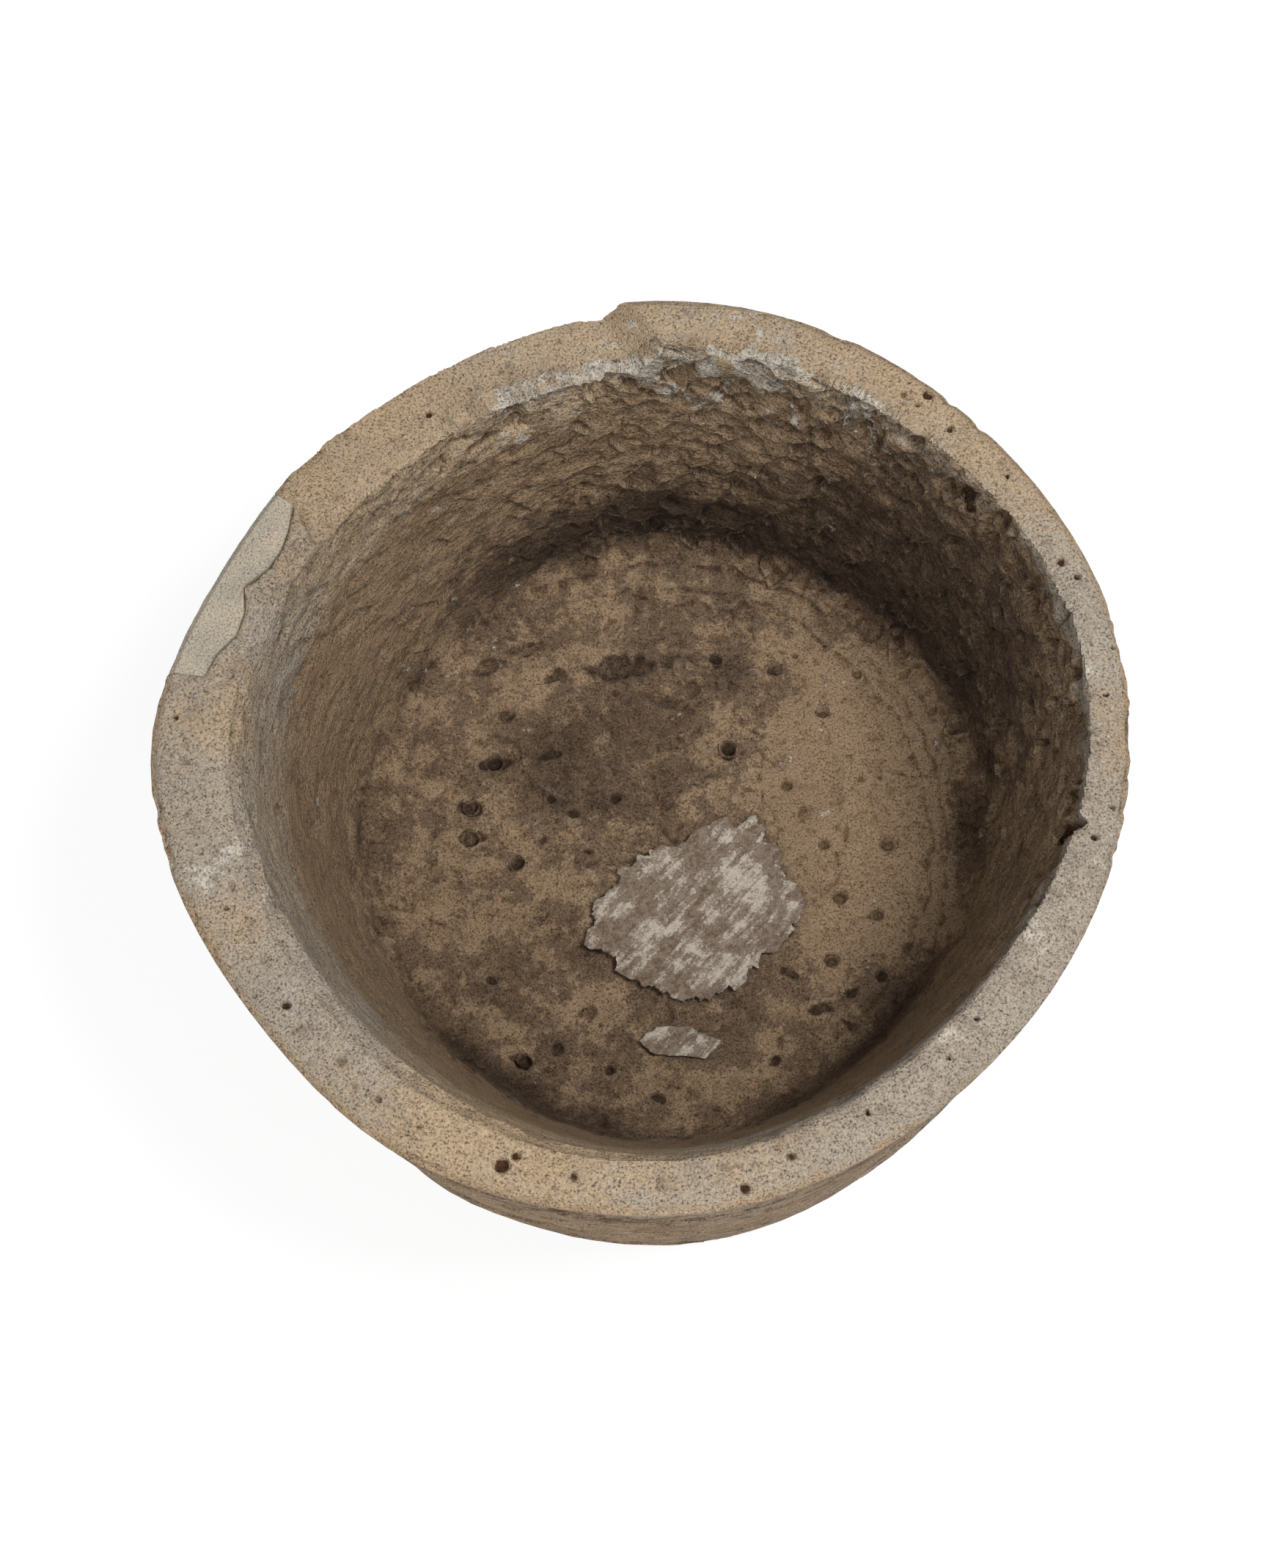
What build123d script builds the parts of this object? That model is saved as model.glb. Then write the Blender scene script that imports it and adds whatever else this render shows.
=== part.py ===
from build123d import *
import math
import os

# A hand-carved limestone trough. Millimetres, +Z up, the middle of its widest outline on the origin,
# the base at z = 0, and -Y towards the side that the observer stands on. Directions are in degrees,
# anticlockwise from +X.

# The block
height = 350.0              # base to the high part of the rim
rim_radius = 343.0          # mean outer radius at the rim
foot_inset = 10.0           # how far the wall's foot stands in from the rim
foot_shift = 8.0            # the foot stands this far to the right of the rim
rim_arris = 6.0             # worn outer edge of the rim
foot_arris = 6.0            # knocked edge all round the base

# The bowl
rim_wall = 48.0             # mean thickness of the wall at the rim
wall_lean = 45.0            # how far the bowl narrows on its way down to the floor
floor_thickness = 70.0      # stone left under the bowl
floor_corner = 24.0         # radius of the hollow corner between wall and floor
mouth_shift = 12.0          # the mouth was cut this far to the right of the block's middle
floor_shift = 20.0          # and the floor further off it
lip_drop = 9.0              # height of the worn lip inside the rim
dressed_flats = 96          # the chisel left narrow upright flats on the bowl and on the block

# How far the hand-cut outlines wander from a circle, in hundredths of its radius, in even steps from +X
rim_wander = (2.6, 2.9, 1.8, 1.8, 1.3, -0.6, -3.5, -4.1, -2.9, 2.1, 0.9, -1.2, 0.3, 0.0, 0.3, -0.9, -0.9, 0.6)
mouth_wander = (3.0, 3.0, -0.3, 0.3, -2.0, -2.4, 0.7, -0.7, 0.3, 1.7, -1.7, -2.0)
lip_spread = (1.0, 1.0, 1.7, 2.7, 3.4, 3.0, 2.7, 4.7, 4.0, 2.0, 1.4, 1.0)

# The break along the back of the rim, where the top of the wall has come away
break_direction = 117.5     # the way that the middle of the break faces
break_half_length = 147.0   # from its middle to each end
break_drop = 19.0           # how far its deep end lies under the rim
break_step = 16.0           # run of the steep face at its deep end
break_tilt = 8.0            # fall of the broken face towards the bowl

# The nick in the inner edge
nick_direction = -13.0
nick_width = 13.0
nick_bite = 9.0             # how far it eats into the wall
nick_fall = 45.0            # how far it runs down

# The grey piece let into the rim, its ragged inner edge, and the crack that runs on from its lower end
repair_start = 173.0
repair_end = 146.0
repair_depth = 62.0         # how far it reaches down into the stone
repair_width = 30.0         # mean width, from the outer edge of the rim
repair_ragged = (0.93, 1.0, 1.25, 1.15, 0.8, 1.1, 1.15, 1.0, 0.7)
crack_width = 1.6
crack_depth = 14.0
crack_turn = 2.4            # how far round the rim the crack drifts on its way across

# Chisel strokes down the back and the right of the bowl: each starts at the surface, bites deepest along its
# upper edge and ends in a ledge
stroke_rows = 6
strokes_per_row = 12
stroke_start = -8.0
stroke_spacing = 9.4
stroke_length = 70.0
stroke_width = 23.0
stroke_depth = 4.5
stroke_roll = 10.0          # how far the chisel was rolled onto its upper edge
stroke_slope = -45.0
stroke_row_gap = 41.0
stroke_top_gap = 20.0       # from the lip down to the middle of the first row

# A row of short marks under the broken rim
mark_count = 11
mark_start = 97.0
mark_spacing = 5.2
mark_length = 24.0
mark_width = 8.0
mark_depth = 2.5
mark_roll = 8.0
mark_slope = -40.0
mark_top_gap = 34.0

# The two skins of mortar on the floor, and their ragged edges as shares of their radius, in even steps from +X
mortar_bite = 1.5           # the skins are keyed this far into the floor
patch_height = 4.0
patch_edge_gap = 183.0      # floor edge to the middle of the large skin
patch_direction = -63.0
patch_radius = 90.0
patch_ragged = (
    0.97, 0.96, 0.94, 1.07, 0.80, 0.67, 0.64, 0.80, 0.94, 0.99, 1.15, 1.01, 0.95, 0.94, 0.96, 0.83, 0.82, 0.89,
)
residue_height = 2.5
residue_edge_gap = 75.0     # floor edge to the middle of the small skin
residue_direction = -87.0
residue_radius = 30.0
residue_ragged = (1.22, 0.67, 0.48, 0.42, 0.46, 0.72, 1.18, 0.72, 0.48, 0.42, 0.48, 1.08)

# Pits where soft spots have fallen out of the floor: direction, share of the floor's radius, width
pit_depth_share = 0.35      # depth of a pit as a share of its width
pit_taper = 30.0
pit_sides = 7
floor_pits = (
    (39, 0.70, 15), (57, 0.71, 15), (41, 0.88, 10), (55, 0.38, 20), (74, 0.66, 14), (141, 0.68, 16),
    (156, 0.63, 20), (171, 0.66, 18), (181, 0.65, 20), (191, 0.50, 18), (239, 0.89, 18), (244, 0.80, 13),
    (257, 0.81, 11), (295, 0.84, 12), (339, 0.76, 14), (340, 0.62, 18), (322, 0.70, 15), (326, 0.86, 12),
    (358, 0.75, 18), (357, 0.54, 13), (24, 0.46, 13), (140, 0.21, 12), (193, 0.26, 10), (221, 0.75, 13),
)

mouth_radius = rim_radius - rim_wall
floor_radius = mouth_radius - wall_lean
lip_level = height - lip_drop
overshoot = 30.0            # how far a cutting shape runs past what it cuts


def spot(direction, radius, shift=0.0):
    """A point in plan, from its direction and its distance to a middle that is shifted to the right."""
    angle = math.radians(direction)
    return (shift + radius * math.cos(angle), radius * math.sin(angle))


def hand_cut(radius, wander, level, shift=0.0):
    """A closed line at a level: a circle that wanders as a hand cuts it."""
    turn = 360.0 / len(wander)
    points = []
    for i, share in enumerate(wander):
        x, y = spot(turn * i, radius * (1.0 + share / 100.0), shift)
        points.append((x, y, level))
    return Spline(points, periodic=True)


def between(wander, direction):
    """How far a hand-cut line wanders in any one direction, in hundredths of its radius."""
    place = (direction % 360.0) / 360.0 * len(wander)
    first = int(place)
    share = place - first
    return wander[first] * (1.0 - share) + wander[(first + 1) % len(wander)] * share


def rim_reach(direction):
    """Distance from the block's middle to the outer edge of the rim."""
    return rim_radius * (1.0 + between(rim_wander, direction) / 100.0)


def bowl_line(level, inset=0.0):
    """The bowl's line at any level of its wall."""
    share = (level - floor_thickness) / (lip_level - floor_thickness)
    radius = floor_radius + share * wall_lean - inset
    shift = floor_shift + share * (mouth_shift - floor_shift)
    return hand_cut(radius, mouth_wander, level, shift)


def in_flats(line):
    """A closed line cut as flats, the way that a chisel leaves it."""
    corners = [line @ (i / dressed_flats) for i in range(dressed_flats)]
    return Face(Wire.make_polygon(corners, close=True))


def make_block():
    """The dressed block before it was hollowed."""
    foot = rim_radius - foot_inset
    sections = [
        hand_cut(foot - foot_arris, rim_wander, 0.0, foot_shift),
        hand_cut(foot, rim_wander, foot_arris, foot_shift),
        hand_cut(rim_radius, rim_wander, height - rim_arris),
        hand_cut(rim_radius - rim_arris, rim_wander, height),
    ]
    return loft([in_flats(line) for line in sections], ruled=True)


def make_bowl():
    """What was cut away to hollow the block: the hollow corner, the leaning wall and the worn lip."""
    sections = []
    for turned in (0.0, 30.0, 60.0, 90.0):
        rise = floor_corner * (1.0 - math.cos(math.radians(turned)))
        inset = floor_corner * (1.0 - math.sin(math.radians(turned)))
        sections.append(in_flats(bowl_line(floor_thickness + rise, inset)))
    mouth = in_flats(bowl_line(lip_level))
    lip_wander = [edge + spread for edge, spread in zip(mouth_wander, lip_spread)]
    lip = in_flats(hand_cut(mouth_radius, lip_wander, height, mouth_shift))
    wall = loft(sections + [mouth, lip], ruled=True)
    return wall + extrude(lip, overshoot)


def make_break():
    """The stone that has come away along the back of the rim."""
    rise = overshoot * math.tan(math.radians(break_tilt))
    low = height - break_drop + rise
    top = height + overshoot + rise
    foot = break_step - break_half_length
    steep = break_step * (top - low) / break_drop
    bed = Polyline(
        (foot, low),
        (-0.45 * break_half_length, low - 0.04 * break_drop),
        (-0.1 * break_half_length, low + 0.1 * break_drop),
        (0.3 * break_half_length, low + 0.2 * break_drop),
        (0.6 * break_half_length, low + 0.55 * break_drop),
        (break_half_length, low + 1.3 * break_drop),
        (break_half_length, top),
        (foot - steep, top),
        close=True,
    )
    across = Plane(
        origin=spot(break_direction, rim_radius + overshoot) + (0.0,),
        x_dir=spot(break_direction + 90.0, 1.0) + (0.0,),
        z_dir=spot(break_direction, 1.0) + (0.0,),
    )
    inward = spot(break_direction + 180.0, math.cos(math.radians(break_tilt)))
    down = -math.sin(math.radians(break_tilt))
    reach = 2.0 * rim_wall + 3.0 * overshoot
    return extrude(across * make_face(bed), reach, dir=(inward[0], inward[1], down))


def make_nick():
    """The nick in the inner edge."""
    wander = between(mouth_wander, nick_direction) + between(lip_spread, nick_direction)
    edge = mouth_radius * (1.0 + wander / 100.0)
    spread = 0.5 * nick_width * (nick_bite + overshoot) / nick_bite
    wedge = Polyline((nick_bite, 0), (-overshoot, spread), (-overshoot, -spread), close=True)
    place = Pos(*spot(nick_direction, edge, mouth_shift), height - nick_fall)
    return extrude(place * Rot(0, 0, nick_direction) * make_face(wedge), nick_fall + overshoot)


def make_repair_pocket():
    """The pocket that the grey piece fills, open at the top and on the outside."""
    turn = (repair_end - repair_start) / (len(repair_ragged) - 1)
    corners = []
    for i, share in enumerate(repair_ragged):
        direction = repair_start + turn * i
        corners.append(spot(direction, rim_reach(direction) - share * repair_width))
    corners.append(spot(repair_end, rim_radius + overshoot))
    corners.append(spot(0.5 * (repair_start + repair_end), rim_radius + 2.0 * overshoot))
    corners.append(spot(repair_start, rim_radius + overshoot))
    plan = Pos(0, 0, height - repair_depth) * make_face(Polyline(*corners, close=True))
    return extrude(plan, repair_depth + overshoot)


def make_crack():
    """The crack across the rim, from the lower end of the grey piece to the bowl."""
    inner_end = repair_start + crack_turn
    reach = rim_reach(repair_start)
    bends = Polyline(
        spot(repair_start, reach - 0.5 * repair_width),
        spot(0.5 * (repair_start + inner_end), reach - 1.1 * repair_width),
        spot(inner_end - 0.2 * crack_turn, reach - 1.5 * repair_width),
        spot(inner_end, reach - repair_width - rim_wall),
    )
    plan = Pos(0, 0, height - crack_depth) * trace(bends, crack_width)
    return extrude(plan, crack_depth + overshoot)


def make_stroke(level, direction, slope, roll, length, width, depth):
    """One stroke of a chisel in the bowl's wall, from where it enters down to the ledge that it leaves."""
    line = bowl_line(level)
    share = (direction % 360.0) / 360.0
    along = line % share
    lean = wall_lean / (lip_level - floor_thickness)
    into_stone = Vector(along.Y, -along.X, -lean)
    wall = Plane(origin=line @ share, x_dir=along, z_dir=into_stone)
    half = 0.5 * length
    side = Polyline((-half, -0.3 * depth), (half, depth), (half, -3 * depth), (-half, -3 * depth), close=True)
    blade = extrude(Plane.XZ * make_face(side), 0.5 * width, both=True)
    return wall * Rot(0, 0, slope) * Rot(roll, 0, 0) * blade


def make_strokes():
    """Every chisel stroke, in staggered rows, none of them quite like the next."""
    strokes = []
    for row in range(stroke_rows):
        for i in range(strokes_per_row):
            jog = (7 * i + 4 * row) % 5 - 2
            share = 1.0 + 0.11 * ((5 * i + 3 * row) % 4 - 1.5)
            direction = stroke_start + stroke_spacing * (i + 0.5 * (row % 2) + 0.13 * jog)
            level = lip_level - stroke_top_gap - stroke_row_gap * (row + 0.12 * jog)
            slope = stroke_slope - 4.0 * jog
            bite = (share * stroke_length, share * stroke_width, share * stroke_depth)
            strokes.append(make_stroke(level, direction, slope, share * stroke_roll, *bite))
    for i in range(mark_count):
        jog = (3 * i) % 4 - 1.5
        direction = mark_start + mark_spacing * i
        level = lip_level - mark_top_gap + 2.0 * jog
        strokes.append(make_stroke(level, direction, mark_slope, mark_roll, mark_length, mark_width, mark_depth))
    return strokes


def make_pits():
    """The pits in the floor, which narrow on their way down."""
    pits = []
    for direction, share, width in floor_pits:
        mouth = Rot(0, 0, direction) * RegularPolygon(0.5 * width, pit_sides)
        pit = extrude(mouth, -pit_depth_share * width, taper=pit_taper)
        x, y = spot(direction, share * floor_radius, floor_shift)
        pits.append(Pos(x, y, floor_thickness) * pit)
    return pits


def make_skin(ragged, radius, middle, thickness):
    """A skin of mortar on the floor, keyed into it, with a worn upper edge."""
    turn = 360.0 / len(ragged)
    corners = [spot(turn * i, share * radius) for i, share in enumerate(ragged)]
    base = Pos(*middle, floor_thickness - mortar_bite) * make_face(Polyline(*corners, close=True))
    skin = extrude(base, mortar_bite + thickness)
    return chamfer(skin.edges().group_by(Axis.Z)[-1], 0.35 * thickness)


def main():
    """Cut each piece from the same block, so that they seat on each other."""
    os.makedirs("parts", exist_ok=True)

    pocket = make_repair_pocket()
    patch_middle = spot(patch_direction, floor_radius - patch_edge_gap, floor_shift)
    patch = make_skin(patch_ragged, patch_radius, patch_middle, patch_height)
    residue_middle = spot(residue_direction, floor_radius - residue_edge_gap, floor_shift)
    residue = make_skin(residue_ragged, residue_radius, residue_middle, residue_height)
    hollow = make_block() - make_break() - make_bowl() - make_nick()
    worn = (hollow - pocket).cut(*make_strokes(), *make_pits(), make_crack())

    pieces = {
        "trough_block": worn - patch - residue,
        "rim_repair": hollow & pocket,
        "floor_mortar_patch": patch,
        "floor_mortar_residue": residue,
    }

    whole = Compound(list(pieces.values())).bounding_box()
    centring = Pos(-whole.center().X, -whole.center().Y, -whole.min.Z)
    for name, piece in pieces.items():
        export_step(centring * piece, f"parts/{name}.step")
    print(f"{whole.size.X:.1f} x {whole.size.Y:.1f} x {whole.size.Z:.1f} mm")


main()
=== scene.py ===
import math
from itertools import product

import bpy
import numpy as np
from bpy.props import FloatProperty, FloatVectorProperty, PointerProperty
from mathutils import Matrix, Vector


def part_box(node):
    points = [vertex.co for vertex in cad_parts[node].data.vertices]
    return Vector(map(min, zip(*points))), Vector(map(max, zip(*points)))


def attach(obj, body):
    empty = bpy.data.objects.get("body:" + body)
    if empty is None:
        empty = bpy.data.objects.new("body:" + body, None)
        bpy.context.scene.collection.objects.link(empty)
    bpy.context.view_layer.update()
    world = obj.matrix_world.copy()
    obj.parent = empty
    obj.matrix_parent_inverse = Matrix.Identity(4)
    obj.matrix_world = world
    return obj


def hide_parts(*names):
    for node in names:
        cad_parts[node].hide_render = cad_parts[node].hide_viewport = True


bl_info = {
    "name": "Limestone trough",
    "version": (1, 0, 0),
    "blender": (4, 5, 0),
    "location": "View3D > Sidebar > Trough",
    "description": "Weathers and finishes a hand-carved round limestone trough",
    "category": "Object",
}

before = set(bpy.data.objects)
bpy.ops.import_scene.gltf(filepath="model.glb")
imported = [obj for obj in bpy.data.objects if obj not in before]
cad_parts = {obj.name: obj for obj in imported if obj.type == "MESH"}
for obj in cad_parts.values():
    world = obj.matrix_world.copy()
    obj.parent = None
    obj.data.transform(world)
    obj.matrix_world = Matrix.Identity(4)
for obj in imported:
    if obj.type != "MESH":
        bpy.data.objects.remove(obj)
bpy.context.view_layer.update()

# Millimetres are used for every shape below, and turned to metres when they reach a mesh or a material
MM = 0.001

# Middles in plan of the bowl's mouth and of its floor, level of the lip, and reach of the wall half way down
MOUTH_MIDDLE = (11.0, -1.4)
FLOOR_MIDDLE = (19.0, -1.4)
LIP_LEVEL = 341.0
WALL_REACH = 272.0
MM_PER_DEGREE = math.radians(WALL_REACH)

# Limits that tell the block's faces apart: reaches from the middle of the mouth or of the floor, and levels
BOWL_REACH = 312.0
SKIN_REACH = 300.0
FLOOR_REACH = 262.0
RIM_LEVEL = 300.0
FLOOR_TOP = 120.0
WALL_FOOT = 72.0
BASE_TOP = 20.0

# Directions in degrees, anticlockwise from the right: where a stretch starts and ends, and how soft it ends
TOOLED_WALL = (-28.0, 108.0, 12.0)
CRUMBLING_WALL = (-10.0, 205.0, 25.0)
WORKED_LIP = (-30.0, 135.0, 12.0)
TERRACED_FLOOR = (-40.0, 120.0, 20.0)
BEVEL = (96.0, 168.0, 14.0)
WORN_LIP = (150.0, 292.0, 16.0)
BACK_WALL = (70.0, 150.0, 12.0)
WHITE_CRUST = (52.0, 120.0, 14.0)

TROWEL_LEAN = 48.0          # degrees from the right to the way the trowel went
EDGE_ANGLE = 52.0           # degrees past which an edge of the stone is drawn sharp


def linear(code):
    """The linear colour of an sRGB hex code."""
    parts = [int(code[i:i + 2], 16) / 255.0 for i in (1, 3, 5)]
    return tuple(c / 12.92 if c <= 0.04045 else ((c + 0.055) / 1.055) ** 2.4 for c in parts)


def smooth(value, low, high):
    """0 below low, 1 above high and a soft step between them."""
    share = np.clip((value - low) / (high - low), 0.0, 1.0)
    return share * share * (3.0 - 2.0 * share)


def swell(points, size, seed):
    """Smooth random values from -1 to 1, about one rise or fall to each size in millimetres."""
    place = points / size
    cell = np.floor(place).astype(np.int64)
    share = place - cell
    share = share * share * (3.0 - 2.0 * share)
    total = np.zeros(len(points))
    for corner in product((0, 1), repeat=3):
        mixed = cell + np.array(corner)
        code = (mixed[:, 0] * 73856093) ^ (mixed[:, 1] * 19349663) ^ (mixed[:, 2] * 83492791) ^ (seed * 40503)
        code = (code ^ (code >> 13)) * 1274126177
        code = (code ^ (code >> 16)) & 0xFFFF
        weight = np.prod(np.where(np.array(corner) == 1, share, 1.0 - share), axis=1)
        total += weight * (code / 32767.5 - 1.0)
    return total


def rough(points, size, layers, seed):
    """Several swells on each other, each half as wide and a little over half as high as the one before."""
    total = np.zeros(len(points))
    height = 1.0
    whole = 0.0
    for layer in range(layers):
        total += height * swell(points, size, seed + layer)
        whole += height
        height *= 0.55
        size *= 0.5
    return total / whole


def apart(turn, middle):
    """Degrees from a direction, from -180 to 180."""
    return (turn - middle + 180.0) % 360.0 - 180.0


def arc(turn, start, end, soft):
    """1 between two directions, with soft ends."""
    half = 0.5 * ((end - start) % 360.0)
    off = np.abs(apart(turn, start + half))
    return 1.0 - smooth(off, half - soft, half + soft)


def blot(across, down, middle, size, lean=0.0):
    """1 at the middle of an oval and 0 from its edge outwards."""
    angle = math.radians(lean)
    dx = across - middle[0]
    dy = down - middle[1]
    u = (dx * math.cos(angle) + dy * math.sin(angle)) / size[0]
    v = (dy * math.cos(angle) - dx * math.sin(angle)) / size[1]
    return 1.0 - smooth(np.hypot(u, v), 0.55, 1.1)


# The shape that weather and tools have left


def edge_line(turn, reach, chosen):
    """How far out an edge lies in the direction of each point, from the points that are chosen on it."""
    spread = 3.0
    count = int(360.0 / spread)
    bins = np.floor(turn[chosen] / spread).astype(int)
    found = np.bincount(bins, minlength=count)
    total = np.bincount(bins, reach[chosen], minlength=count)
    some = found > 0
    middles = spread * (np.arange(count) + 0.5)
    return np.interp(turn, middles[some], total[some] / found[some], period=360.0)


class Survey:
    """Where each point of a mesh lies on the trough, and which of its faces it belongs to."""

    def __init__(self, points, normals):
        self.points = points
        x, y, z = points.T
        self.level = z
        self.turn = np.degrees(np.arctan2(y - MOUTH_MIDDLE[1], x - MOUTH_MIDDLE[0])) % 360.0
        self.reach = np.hypot(x - MOUTH_MIDDLE[0], y - MOUTH_MIDDLE[1])
        self.drop = LIP_LEVEL - z
        self.along = self.turn * MM_PER_DEGREE
        self.floor_x = x - FLOOR_MIDDLE[0]
        self.floor_y = y - FLOOR_MIDDLE[1]
        self.floor_reach = np.hypot(self.floor_x, self.floor_y)
        self.floor_turn = np.degrees(np.arctan2(self.floor_y, self.floor_x)) % 360.0
        self.outward = np.stack([x, y, np.zeros(len(x))], axis=1)
        self.outward /= np.maximum(np.linalg.norm(self.outward, axis=1), 1.0)[:, None]
        facing = np.sum(normals * self.outward, axis=1)
        up = normals[:, 2]
        inside = self.reach < BOWL_REACH
        self.wall = smooth(-facing, 0.25, 0.7) * inside * (z > WALL_FOOT)
        self.outside = smooth(facing, 0.3, 0.7) * (self.reach > SKIN_REACH)
        self.rim = smooth(up, 0.35, 0.75) * (z > RIM_LEVEL)
        self.floor = smooth(up, 0.35, 0.75) * (z < FLOOR_TOP) * (self.floor_reach < FLOOR_REACH)
        self.base = smooth(-up, 0.4, 0.8) * (z < BASE_TOP)
        self.bowl = (1.0 - smooth(self.reach, 304.0, BOWL_REACH)) * (z > 55.0)
        self.bowl_floor = self.bowl * (1.0 - smooth(z, 80.0, 106.0))
        self.bowl_wall = self.bowl - self.bowl_floor
        lip = edge_line(self.turn, self.reach, (z > RIM_LEVEL) & (facing < -0.5) & inside)
        arris = edge_line(self.turn, self.reach, (z > 296.0) & (facing > 0.6))
        self.lip = np.exp(-((self.reach - lip) / 9.0) ** 2) * (z > 285.0)
        self.arris = np.exp(-((self.reach - arris) / 8.0) ** 2) * (z > 290.0)

    def into_stone(self):
        """The direction at each point that a tool goes in."""
        side = self.wall - self.outside
        way = self.outward * side[:, None]
        way[:, 2] -= self.rim + self.floor
        way[:, 2] += self.base
        return way / np.maximum(np.linalg.norm(way, axis=1), 0.2)[:, None]


def chop(depth, across, down, strokes):
    """Cut strokes of a chisel: each is deep under its arched upper edge and rises to its lower one."""
    for turn, drop, lean, length, width, bite in strokes:
        angle = math.radians(lean)
        dx = apart(across / MM_PER_DEGREE, turn) * MM_PER_DEGREE
        dy = down - drop
        near = (np.abs(dx) < length) & (np.abs(dy) < length)
        if not near.any():
            continue
        u = (dx[near] * math.cos(angle) + dy[near] * math.sin(angle)) / length
        v = (dy[near] * math.cos(angle) - dx[near] * math.sin(angle)) / width + 0.5 - 1.3 * u * u
        fall = smooth(v, 0.0, 1.5 / width) * (1.0 - np.clip(v, 0.0, 1.0)) ** 0.8
        run = 1.0 - smooth(np.abs(u), 0.3, 0.5)
        depth[near] = np.maximum(depth[near], bite * fall * run)
    return depth


# Plainer strokes, leaning either way on the left and steep at the front: how many, and the ranges of their
# directions, lengths, distances below the lip and leans, their width, and the range of their depths
PLAINER_STROKES = (
    (150, (108.0, 236.0), (18.0, 54.0), (40.0, 262.0), (-70.0, 20.0), 15.0, (1.2, 3.4)),
    (90, (222.0, 342.0), (20.0, 60.0), (20.0, 250.0), (62.0, 112.0), 10.0, (0.8, 2.0)),
)


def plan_strokes(sizes):
    """The lesser chisel strokes, between the deep ones that the block already has."""
    draw = np.random.default_rng(7)
    bite = sizes.stroke_bite / MM
    strokes = []
    # Scallops all over the right and the back of the wall
    for _ in range(620):
        turn = draw.uniform(-36.0, 116.0)
        across = draw.uniform(14.0, 42.0)
        down = across * draw.uniform(0.45, 0.8)
        lean = draw.uniform(-26.0, 22.0)
        strokes.append((turn, draw.uniform(2.0, 262.0), lean, across, down, bite * draw.uniform(0.45, 1.0)))
    # Two rows that step down under the bevel
    for start, count, drop in ((98.0, 13, 16.0), (104.0, 8, 42.0)):
        for i in range(count):
            turn = start + 4.4 * i + draw.uniform(-1.2, 1.2)
            across = draw.uniform(16.0, 34.0)
            strokes.append((turn, drop + draw.uniform(-6.0, 6.0), draw.uniform(10.0, 26.0), across, 9.0, 3.4))
    for count, turns, lengths, drops, leans, width, bites in PLAINER_STROKES:
        for _ in range(count):
            turn = draw.uniform(*turns)
            length = draw.uniform(*lengths)
            drop = draw.uniform(*drops)
            lean = draw.uniform(*leans)
            strokes.append((turn, drop, lean, length, width, draw.uniform(*bites)))
    return strokes


# Pits and hollows of the floor: x and y from its middle, half length, half width, lean, depth
FLOOR_PITS = (
    (54, 77, 14, 9, 75, 6), (136, 111, 8, 6, 0, 5), (95, 149, 8, 6, 20, 5), (165, 146, 6, 5, 0, 5),
    (45, 158, 8, 12, 10, 4), (-134, 106, 10, 7, 0, 4), (-145, 63, 22, 7, 5, 5), (-96, 70, 14, 6, 20, 4),
    (-164, 25, 15, 9, 15, 6), (-163, -2, 16, 9, 0, 6), (-124, -24, 12, 7, 20, 5), (-116, -190, 12, 9, -20, 6),
    (-88, -180, 8, 7, 0, 4), (-46, -198, 7, 6, 0, 5), (-7, -220, 9, 7, 0, 5), (89, -190, 7, 6, 0, 5),
    (178, -67, 11, 8, 0, 5), (146, -54, 9, 5, 20, 5), (138, -107, 9, 8, 0, 6), (179, -119, 7, 7, 0, 6),
    (188, -8, 12, 7, 10, 6), (135, -8, 6, 6, 0, 4), (104, 46, 8, 7, 0, 6), (166, 49, 5, 5, 0, 4),
    (-40, 34, 6, 6, 0, 4), (-96, 32, 6, 5, 0, 4), (-76, 20, 5, 5, 0, 4), (-64, -14, 5, 4, 0, 5),
    (-101, -5, 8, 6, 30, 4), (-143, -122, 6, 5, 0, 4), (128, -148, 18, 9, 8, 6), (154, -132, 6, 6, 0, 5),
    (103, -116, 10, 6, -10, 4), (-63, -151, 9, 11, 30, 4), (120, 22, 12, 7, 60, 4), (72, 40, 6, 4, 0, 3),
    (-60, -96, 26, 9, 12, 3), (-20, -112, 18, 7, 8, 4), (182, 52, 4, 4, 0, 4), (30, 60, 24, 5, -35, 2),
    (-118, 168, 26, 8, 12, 4), (-40, 152, 40, 17, 10, 6), (-95, 140, 14, 8, 30, 4), (10, 118, 20, 9, -20, 3),
    (-150, 150, 20, 8, 30, 4), (150, -160, 12, 5, -50, 4), (76, 96, 26, 4, -35, 2), (84, 70, 20, 3, -38, 2),
)

# Holes in the rim: x and y from the block's middle, radius, depth
RIM_PITS = (
    (-334, 7, 2.4, 5), (-245, -201, 3.4, 6), (-289, -134, 2.0, 4), (-95, -310, 5.5, 7), (-46, -318, 3.4, 5),
    (68, -326, 4.0, 5), (100, -305, 3.0, 5), (152, -275, 2.6, 6), (208, -238, 2.0, 5), (229, -211, 2.0, 5),
    (318, -81, 2.8, 6), (332, 24, 2.0, 5), (306, 127, 3.4, 7), (317, 115, 2.6, 6), (214, 263, 4.4, 6),
    (228, 234, 3.0, 5), (196, 262, 2.4, 4), (206, 254, 2.0, 4), (-161, 257, 3.0, 5), (270, 196, 2.4, 5),
    (-22, 306, 2.0, 4), (-104, 296, 8.0, 2), (-86, -304, 3.4, 5), (40, -300, 2.0, 4), (-180, -266, 3.0, 3),
    (-205, -240, 5.0, 2), (-150, -285, 2.6, 3), (-60, -300, 2.0, 3), (332, -60, 2.0, 4), (340, 60, 2.2, 5),
)

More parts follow.
